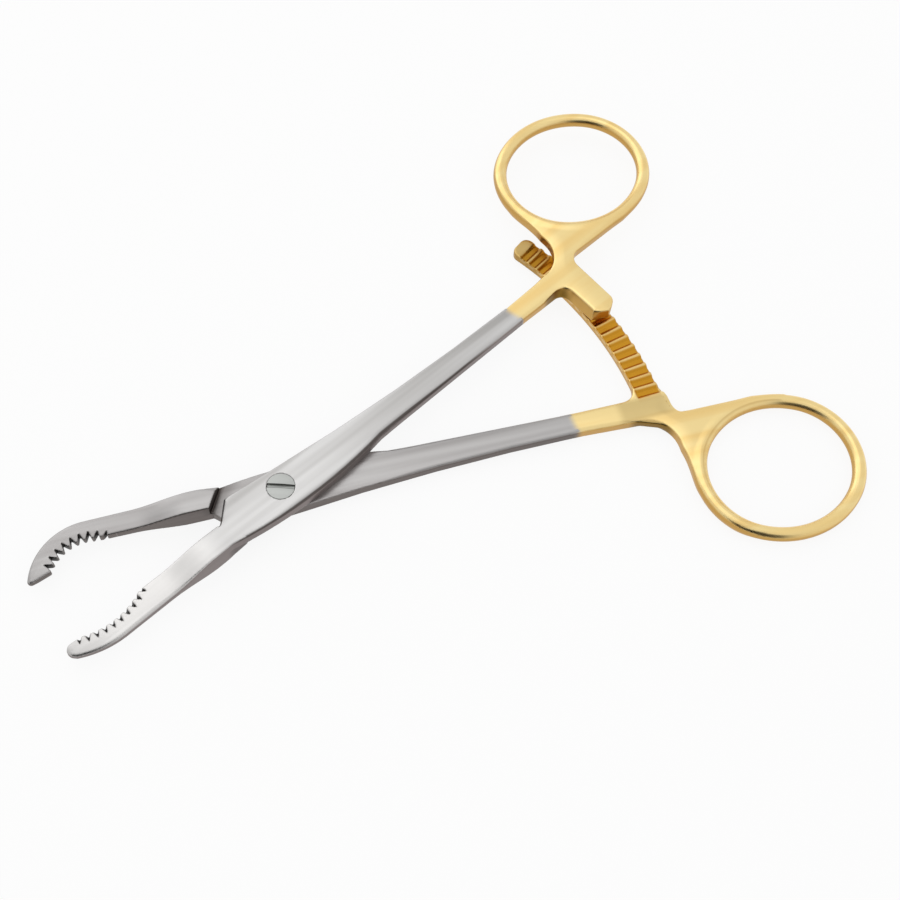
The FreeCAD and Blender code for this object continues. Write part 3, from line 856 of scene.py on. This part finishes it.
    def with_catch(self, bar: Array, plan: Array, x: Array, y: Array, z: Array) -> Array:
        """Slopes the tab's inner side and sets small teeth under it.

        The slope grows round the neck's cove, runs down the tab and fades at its nose.
        """
        c = self.catch
        lean = c.bevel / self.sizes.thickness * smooth(61.0, 66.5, x) * smooth(1.2, 2.8, -y)
        lean = lean * smooth(71.4, 70.2, x) * (1.0 - 0.6 * smooth(9.5, 11.3, -y))
        bar = carve(bar, -(plan + lean * z) / np.hypot(lean, 1.0), c.slope_rim)
        teeth = self.ridges(x, y, c.first_tooth, c.teeth) - c.tooth_half - z
        block = np.maximum(np.abs(np.hypot(x, y) - c.teeth_radius) - c.teeth_half_width,
                           z - c.teeth_top)
        teeth = np.maximum(np.maximum(teeth, block), self.rack.top + c.teeth_clear - z)
        return np.minimum(bar, teeth)

    def ridges(self, x: Array, y: Array, first: int, count: int) -> Array:
        """Distance round the pivot from the nearest of some of the rack's groove lines."""
        r = self.rack
        start = r.first_groove + first * r.pitch
        around = self.around(x, y)
        if self.level is Level.UPPER:
            start -= 2.0 * self.sizes.spread
            around = -around
        number = np.clip(np.round((around - start) / r.pitch), 0, count - 1)
        return np.abs(np.radians(around - start - number * r.pitch)) * r.radius

    def with_rack(self, bar: Array, plan: Array, x: Array, y: Array, z: Array) -> Array:
        """Adds the rack: a band round the pivot with a rounded tip and cross grooves."""
        r = self.rack
        radius = np.hypot(x, y)
        length = math.radians(r.tip_angle + r.root_angle) * r.radius
        middle = math.radians(r.tip_angle - r.root_angle) * r.radius / 2.0
        across = np.abs(radius - r.radius) - r.width / 2.0 + r.tip_round
        ends = np.abs(-np.arctan2(y, x) * r.radius - middle) - length / 2.0 + r.tip_round
        band = np.hypot(np.maximum(across, 0.0), np.maximum(ends, 0.0)) - r.tip_round
        band = band + np.minimum(np.maximum(across, ends), 0.0)
        rack = slab(join(band, plan, r.root_fillet), z, r.top - r.thickness, r.top, r.rim)
        depth = z - r.top + r.groove_depth
        groove = self.ridges(x, y, 0, r.count) - r.groove_half - depth
        groove = np.maximum(groove * 0.71, -depth)
        groove = np.maximum(groove, r.radius - r.width / 2.0 + r.plain_strip - radius)
        return np.minimum(bar, carve(rack, groove, r.groove_rim))

    def ahead(self, x: Array, y: Array) -> Array:
        """Distance past the shoulder's line, positive on the lap plate's side."""
        s = self.sizes
        outer_x, outer_y = -s.shoulder[0], -s.crotch[1]
        run_x, run_y = -s.shoulder[1] - outer_x, self.jaw.inner_y - outer_y
        return ((x - outer_x) * run_y - (y - outer_y) * run_x) / math.hypot(run_x, run_y)

    def shade(self, x: Array, y: Array, z: Array) -> Array:
        """How much painted shade a place takes: by the shoulder, along an edge, in the neck's
        coves, on the rack.

        The lap face's painted shade fades over 4 mm from the shoulder. The upper half has a line
        of painted shade along its inner rounding. The lower half's neck and the rack's tip are
        painted a little darker on top, as painted shade.
        """
        high, beyond = self.layer()[1], -self.level.value * z
        painted_shade = 0.6 * smooth(4.0, 0.3, self.ahead(x, y)) * smooth(-14.5, -13.0, x)
        painted_shade = painted_shade * smooth(-0.4, -0.1, beyond) * smooth(2.3, 1.6, beyond)
        if self.level is Level.UPPER:
            cove_x, cove_y, reach = 65.0, -3.4, 3.2
            line = smooth(-0.8, -0.6, z - high) * smooth(-0.16, -0.3, z - high)
            line = line * smooth(1.0, 2.0, -y) * smooth(-14.0, -11.0, x) * smooth(52.0, 40.0, x)
            painted_shade = np.maximum(painted_shade, 0.95 * line)
        else:
            cove_x, cove_y, reach = 69.0, 2.6, 5.0
            tip = smooth(29.5, 31.0, self.around(x, y)) * smooth(60.0, 62.0, np.hypot(x, y))
            neck = smooth(62.5, 64.5, x) * smooth(75.0, 71.0, x)
            neck = neck * smooth(-2.9, -2.0, y) * smooth(2.2, 1.2, y)
            painted_shade = np.maximum(painted_shade, np.maximum(0.4 * tip, 0.3 * neck))
        cove = smooth(reach, 0.55 * reach, np.hypot(x - cove_x, y - cove_y))
        return np.maximum(painted_shade, 0.9 * cove * smooth(-0.15, -0.45, z - high))

    def tint(self, x: Array, y: Array, z: Array) -> Array:
        """How far a place takes its finish's painted highlight and reflection colour.

        On the upper half it is a painted highlight that makes the jaw brighter. On the lower half
        it
        is a painted reflection: the amber of plating mirrored in the rack's grooves, a third as
        strong on their ridges.
        """
        if self.level is Level.UPPER:
            return 0.7 * smooth(13.0, 19.0, -x) * (1.0 - 0.7 * smooth(34.0, 46.0, -x))
        r = self.rack
        across = np.abs(np.hypot(x, y) - r.radius) - r.width / 2.0 + 0.2
        band = smooth(0.3, 0.0, across) * smooth(-2.0, -0.5, self.around(x, y) - r.first_groove)
        groove = smooth(0.6, 0.3, self.ridges(x, y, 0, r.count) - r.groove_half)
        return band * smooth(-1.0, -0.7, z - r.top) * (0.3 + 0.7 * groove)

    def around(self, x: Array, y: Array) -> Array:
        """Degrees round the pivot from the x axis, clockwise."""
        return -np.degrees(np.arctan2(y, x))

    def placed(self, points: Array) -> Array:
        """Moves points from the half's own frame to the object's frame."""
        side = self.level.value
        turn = math.radians(self.sizes.spread) * side
        x, y = points[:, 0], points[:, 1] * side
        return np.stack([
            x * math.cos(turn) - y * math.sin(turn),
            x * math.sin(turn) + y * math.cos(turn),
            points[:, 2] + self.sizes.thickness,
        ], axis=1)

    def grid(self, zone: Zone) -> tuple[list[float], list[float]]:
        """Lowest and highest corner of a zone's space, with some air."""
        low, high = self.layer()
        thick = self.sizes.thickness
        if zone is Zone.STEEL:
            return [-48.0, -7.5, -thick - 0.4], [57.5, 8.8, thick + 0.4]
        start = [52.9, -14.0] if self.level is Level.UPPER else [52.1, -45.5]
        return [*start, low - 0.75], [105.5, 32.5, high + 0.5]

    def build(self, zone: Zone, step: float, finish: GroundMetal) -> bpy.types.Object:
        """Makes one zone's piece on a grid of the given step and hangs it on the half's body.

        The upper jaw's painted highlight leaves out walls and hollows. The screw's seat gets no
        painted hollow shade.
        """
        skin = Skin(self.steel if zone is Zone.STEEL else self.gold, *self.grid(zone), step)
        faces = skin.quads if self.level is Level.UPPER else skin.quads[:, ::-1]
        marks = {**skin.wear(), "tint": self.tint(*skin.points.T),
                 "shade": self.shade(*skin.points.T)}
        if zone is Zone.GOLD:
            marks["bare"] = smooth(2.3, 0.7, self.boundary(*skin.points.T[:2]))
        elif self.level is Level.UPPER:
            marks["tint"] *= (1.0 - marks["cavity"]) * (1.0 - marks["flank"])
            # The screw's seat takes no painted hollow shade.
            marks["cavity"] *= smooth(2.7, 3.1, np.hypot(*skin.points.T[:2]))
        piece = place_mesh("%s_%s" % (self.name, zone.value), self.placed(skin.points), faces,
                           marks)
        piece.data.materials.append(finish.make())
        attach(piece, self.level.name.lower())
        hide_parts(self.name)
        self.name + "_steel"
        LOG.info("%s: %d quads", piece.name, len(faces))
        return piece


@dataclass
class PivotScrew:
    """The slotted screw. Its slot lies askew and its head sits flush in the upper half."""

    top: float = 5.2
    dome: float = 0.15
    head_radius: float = 2.5
    head_depth: float = 1.4
    stem_radius: float = 1.5
    stem_gap: float = 0.5
    slot_width: float = 0.7
    slot_depth: float = 0.5
    slot_angle: float = -31.6
    head_rim: float = 0.03
    stem_rim: float = 0.1
    slot_rim: float = 0.16

    def shape(self, x: Array, y: Array, z: Array) -> Array:
        """Field of a round head on a round stem, less a shallow slot."""
        radius = np.hypot(x, y)
        crown = self.top + self.dome - self.dome * (radius / self.head_radius) ** 2
        head = slab(radius - self.head_radius, z, self.top - self.head_depth, crown,
                    self.head_rim)
        stem = slab(radius - self.stem_radius, z, 0.0, self.top - self.stem_gap, self.stem_rim)
        turn = math.radians(self.slot_angle)
        off = np.abs(y * math.cos(turn) - x * math.sin(turn)) - self.slot_width / 2.0
        slot = np.maximum(off, self.top + self.dome - self.slot_depth - z)
        return carve(np.minimum(head, stem), slot, self.slot_rim)

    def build(self, finish: GroundMetal) -> bpy.types.Object:
        """Makes the screw's piece."""
        air = 0.3
        reach = self.head_radius + air
        skin = Skin(self.shape, [-reach, -reach, -air], [reach, reach, self.top + 0.5],
                    SCREW_STEP)
        none = np.zeros(len(skin.points))
        piece = place_mesh("slotted_screw", skin.points, skin.quads,
                           {**skin.wear(), "tint": none, "shade": none})
        piece.data.materials.append(finish.make())
        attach(piece, "lower")
        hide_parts("pivot_screw")
        LOG.info("%s: %d quads", piece.name, len(skin.quads))
        return piece


# The studio


def facing(place: Sequence[float], target: Sequence[float]) -> Array:
    """Right, up and back, a row each, of something level at a place that looks at a target."""
    back = np.array(place) - np.array(target)
    back = back / np.linalg.norm(back)
    right = np.cross([0.0, 0.0, 1.0], back)
    right = right / np.linalg.norm(right)
    return np.stack([right, np.cross(back, right), back])


@dataclass(frozen=True)
class Softbox:
    """A square lamp that looks at the middle of the object."""

    name: str
    place: Triple
    size: float
    watts: float
    target: Triple = (0.03, 0.0, 0.0)

    def build(self) -> None:
        """Adds the lamp and turns it."""
        data = bpy.data.lights.new(self.name, "AREA")
        data.shape = "SQUARE"
        data.size = self.size
        data.energy = self.watts
        lamp = bpy.data.objects.new(self.name, data)
        lamp.location = self.place
        turn = Matrix(facing(self.place, self.target).T.tolist())
        lamp.rotation_euler = turn.to_euler()
        bpy.context.scene.collection.objects.link(lamp)


@dataclass(frozen=True)
class Studio:
    """Camera, lamps, floor and backdrop."""

    camera_place: Triple = (-0.0325367, -0.0979058, 0.2138925)
    camera_right: Triple = (0.872292, -0.486522, 0.049023)
    camera_up: Triple = (0.41186, 0.78505, 0.462675)
    camera_back: Triple = (-0.263587, -0.383397, 0.885171)
    lens: float = 53.034
    world: str = "#e9e9e9"
    floor: str = "#f4f4f4"
    floor_reach: float = 2.5
    floor_glow: float = 0.88
    card: str = "#1c1a18"
    card_place: Triple = (-0.40, -0.60, 0.36)
    card_size: float = 0.9
    lamps: tuple[Softbox, ...] = (
        Softbox("overhead", (0.03, 0.24, 0.62), 0.45, 0.3),
        Softbox("back", (-0.10, 0.65, 0.30), 0.60, 0.6),
    )

    def build(self) -> None:
        """Sets up the studio."""
        scene = bpy.context.scene
        scene.view_settings.view_transform = "Standard"
        data = bpy.data.cameras.new("camera")
        data.sensor_width = 36.0
        data.lens = self.lens
        data.clip_start = 0.005
        camera = bpy.data.objects.new("camera", data)
        rows = np.stack([self.camera_right, self.camera_up, self.camera_back], axis=1)
        turn = Matrix(rows.tolist()).to_4x4()
        camera.matrix_world = Matrix.Translation(self.camera_place) @ turn
        scene.collection.objects.link(camera)
        scene.camera = camera
        for lamp in self.lamps:
            lamp.build()
        self.light_world()
        self.lay_floor()
        self.hang_card()

    def light_world(self) -> None:
        """Lights the object with a soft grey and shows white behind it."""
        world = bpy.data.worlds.new("soft_room")
        bpy.context.scene.world = world
        tree = emptied(world)
        path = add_node(tree, "LightPath")
        soft = coloured(tree, "Background", linear(self.world))
        white = coloured(tree, "Background", WHITE)
        mixed_output(tree, "OutputWorld", path.outputs["Is Camera Ray"], soft, white)

    def hang_card(self) -> None:
        """Hangs a dark card behind the camera's place, which only the metal mirrors.

        It stands in for the dark room behind a photographer and draws the darker bands along
        the rings and the near edges.
        """
        middle, reach = np.array(self.card_place), self.card_size / 2.0
        right, up, _ = facing(self.card_place, (0.0, 0.0, 0.0))
        corners = [middle + reach * (a * right + b * up) for a, b in SQUARE]
        card = place_mesh("dark_card", np.array(corners) / MM, np.array([[3, 2, 1, 0]]), {})
        material = bpy.data.materials.new("black_felt")
        tree = emptied(material)
        felt = coloured(tree, "BsdfDiffuse", linear(self.card))
        add_node(tree, "OutputMaterial", None, {"Surface": felt})
        card.data.materials.append(material)
        card.visible_camera = card.visible_diffuse = card.visible_shadow = False

    def lay_floor(self) -> None:
        """Lays a pale floor that glows to the camera and the metal and keeps a faint shadow."""
        corners = np.array([[a, b, 0.0] for a, b in SQUARE]) * self.floor_reach / MM
        floor = place_mesh("floor", corners, np.array([[0, 1, 2, 3]]), {})
        material = bpy.data.materials.new("pale_paper")
        tree = emptied(material)
        path = add_node(tree, "LightPath")
        seen = add_node(tree, "Math", {"operation": "MAXIMUM"},
                        {0: path.outputs["Is Camera Ray"], 1: path.outputs["Is Glossy Ray"]})
        share = add_node(tree, "Math", {"operation": "MULTIPLY"},
                         {0: seen.outputs[0], 1: self.floor_glow})
        mixed_output(tree, "OutputMaterial", share.outputs[0],
                     coloured(tree, "BsdfDiffuse", linear(self.floor)),
                     coloured(tree, "Emission", WHITE))
        floor.data.materials.append(material)


UPPER_JAW = JawSizes(inner_y=1.3, hook_x=35.9, hollow_radius=13.6, hollow_depth=1.5, width=3.4,
                     outer_end=119.0, toe_angle=114.0, nose_x=47.0, nose_y=1.5, nose_round=1.3,
                     first_notch=61.7, notch_pitch=6.03, notch_depth=1.5, notch_slant=0.3)
LOWER_JAW = JawSizes(inner_y=0.95, hook_x=34.05, hollow_radius=7.3, hollow_depth=0.15, width=3.7,
                     outer_end=168.0, toe_angle=157.0, nose_x=45.1, nose_y=6.9, nose_round=0.6,
                     first_notch=55.6, notch_pitch=10.5, notch_depth=1.4, notch_slant=0.0)


def satin_steel(turn: float, level: Level) -> GroundMetal:
    """Martensitic stainless steel, ground and satin polished: a neutral, slightly warm grey.

    The lower half takes darker colours, as painted shade, since it sends back a little less light.
    """
    # Darker copies of the colours for the lower half: painted shade.
    face, face_warm, wall = (("#d1d0cf", "#adaba9", "#857b79") if level is Level.UPPER else
                             ("#bbb9b8", "#a6a3a2", "#6d6562"))
    return GroundMetal("satin_stainless_steel", face=face, face_warm=face_warm,
                       wall=wall, hollow="#2c2926", edge="#e2e1e0", tint="#eceae8",
                       shade="#57504d", roughness=0.33, wall_roughness=0.42, turn=turn,
                       streak_gloss=0.04, bump=0.03)


def screw_steel(turn: float) -> GroundMetal:
    """The screw's own steel, turned and not ground with the halves, so greyer and duller."""
    return GroundMetal("turned_stainless_steel", face="#b9bbb8", face_warm="#acaeab",
                       wall="#8b8d8a", hollow="#868885", edge="#bcbebb", tint="#bdbcb8",
                       shade="#5d5955", roughness=0.38, wall_roughness=0.42, turn=turn,
                       streak_gloss=0.03, bump=0.03, band_bump=0.0)


def pale_gold(turn: float, level: Level) -> GroundMetal:
    """Thin gold plating on the steel: pale yellow faces, with amber painted shade in the hollows.

    Its first millimetres thin out, so the steel underneath shows through them.
    """
    return GroundMetal("pale_gold_plating", face="#fee4a2", face_warm="#f8d68e", wall="#c69c56",
                       hollow="#a8741f", edge="#fff4cc", tint="#d0952c", shade="#7d5f24",
                       roughness=0.29, wall_roughness=0.32, turn=turn, streak_gloss=0.004,
                       bump=0.0, band_bump=0.06, under=satin_steel(turn, level))


STEEL_STEP, GOLD_STEP, SCREW_STEP = 0.18, 0.21, 0.07


def main() -> None:
    """Builds the forceps and the studio."""
    logging.basicConfig(level=logging.INFO, format="%(name)s: %(message)s")
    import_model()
    for half in (Half(Level.UPPER, UPPER_JAW), Half(Level.LOWER, LOWER_JAW)):
        turn = half.sizes.spread * half.level.value
        half.build(Zone.STEEL, STEEL_STEP, satin_steel(turn, half.level))
        half.build(Zone.GOLD, GOLD_STEP, pale_gold(turn, half.level))
    PivotScrew().build(screw_steel(PivotScrew.slot_angle))
    Studio().build()


if __name__ == "__main__":
    main()
